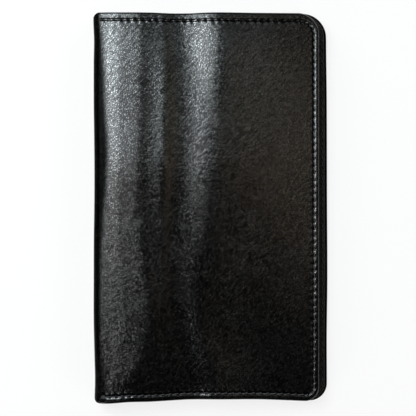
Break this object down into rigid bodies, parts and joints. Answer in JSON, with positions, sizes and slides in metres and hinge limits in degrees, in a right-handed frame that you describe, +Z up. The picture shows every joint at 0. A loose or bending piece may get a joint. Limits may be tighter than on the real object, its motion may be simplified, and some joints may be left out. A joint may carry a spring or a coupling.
{
  "type": "tall wallet",
  "caption": "Tall book-style leather wallet that folds at the spine, with card rows and a note compartment in one half and slip pockets in the other.",
  "frame": {"origin": "centre of the closed wallet's footprint, on the table under the back cover", "axes": "+X from the spine to the opening edge, +Y along the height towards the top of the picture, +Z up through the front cover"},
  "size_m": [0.107, 0.1778, 0.015],
  "materials": {
    "outer_leather": "black full-grain leather, polished, semi-gloss",
    "inner_leather": "black leather, satin",
    "board": "pressed fibre board, hidden",
    "lining_cloth": "black plain-weave lining",
    "thread": "dark waxed polyester thread"
  },
  "bodies": {
    "back_half": {"back_cover": "outer_leather", "back_stiffener": "board", "back_lining": "lining_cloth", "back_slip_pocket": "inner_leather", "back_short_pocket": "inner_leather", "back_seam_thread": "thread", "back_inner_thread": "thread"},
    "spine": {"spine_cover": "outer_leather", "spine_lining": "lining_cloth", "back_fold_leather": "outer_leather", "front_fold_leather": "outer_leather"},
    "front_half": {"front_cover": "outer_leather", "front_stiffener": "board", "front_lining": "lining_cloth", "card_panel": "inner_leather", "card_slot_1": "inner_leather", "card_slot_1_lining": "lining_cloth", "card_slot_2": "inner_leather", "card_slot_2_lining": "lining_cloth", "card_slot_3": "inner_leather", "front_seam_thread": "thread", "front_inner_thread": "thread", "card_divider_thread": "thread"}
  },
  "joints": [
    {"name": "back_fold", "type": "hinge", "parent": "back_half", "child": "spine", "pos_m": [-0.05286, 0, 0.00064], "axis": [0, -1, 0], "range_deg": [0, 90], "deforming": ["back_fold_leather"]},
    {"name": "front_fold", "type": "hinge", "parent": "spine", "child": "front_half", "pos_m": [-0.05286, 0, 0.01256], "axis": [0, -1, 0], "range_deg": [0, 90], "deforming": ["front_fold_leather"]}
  ]
}
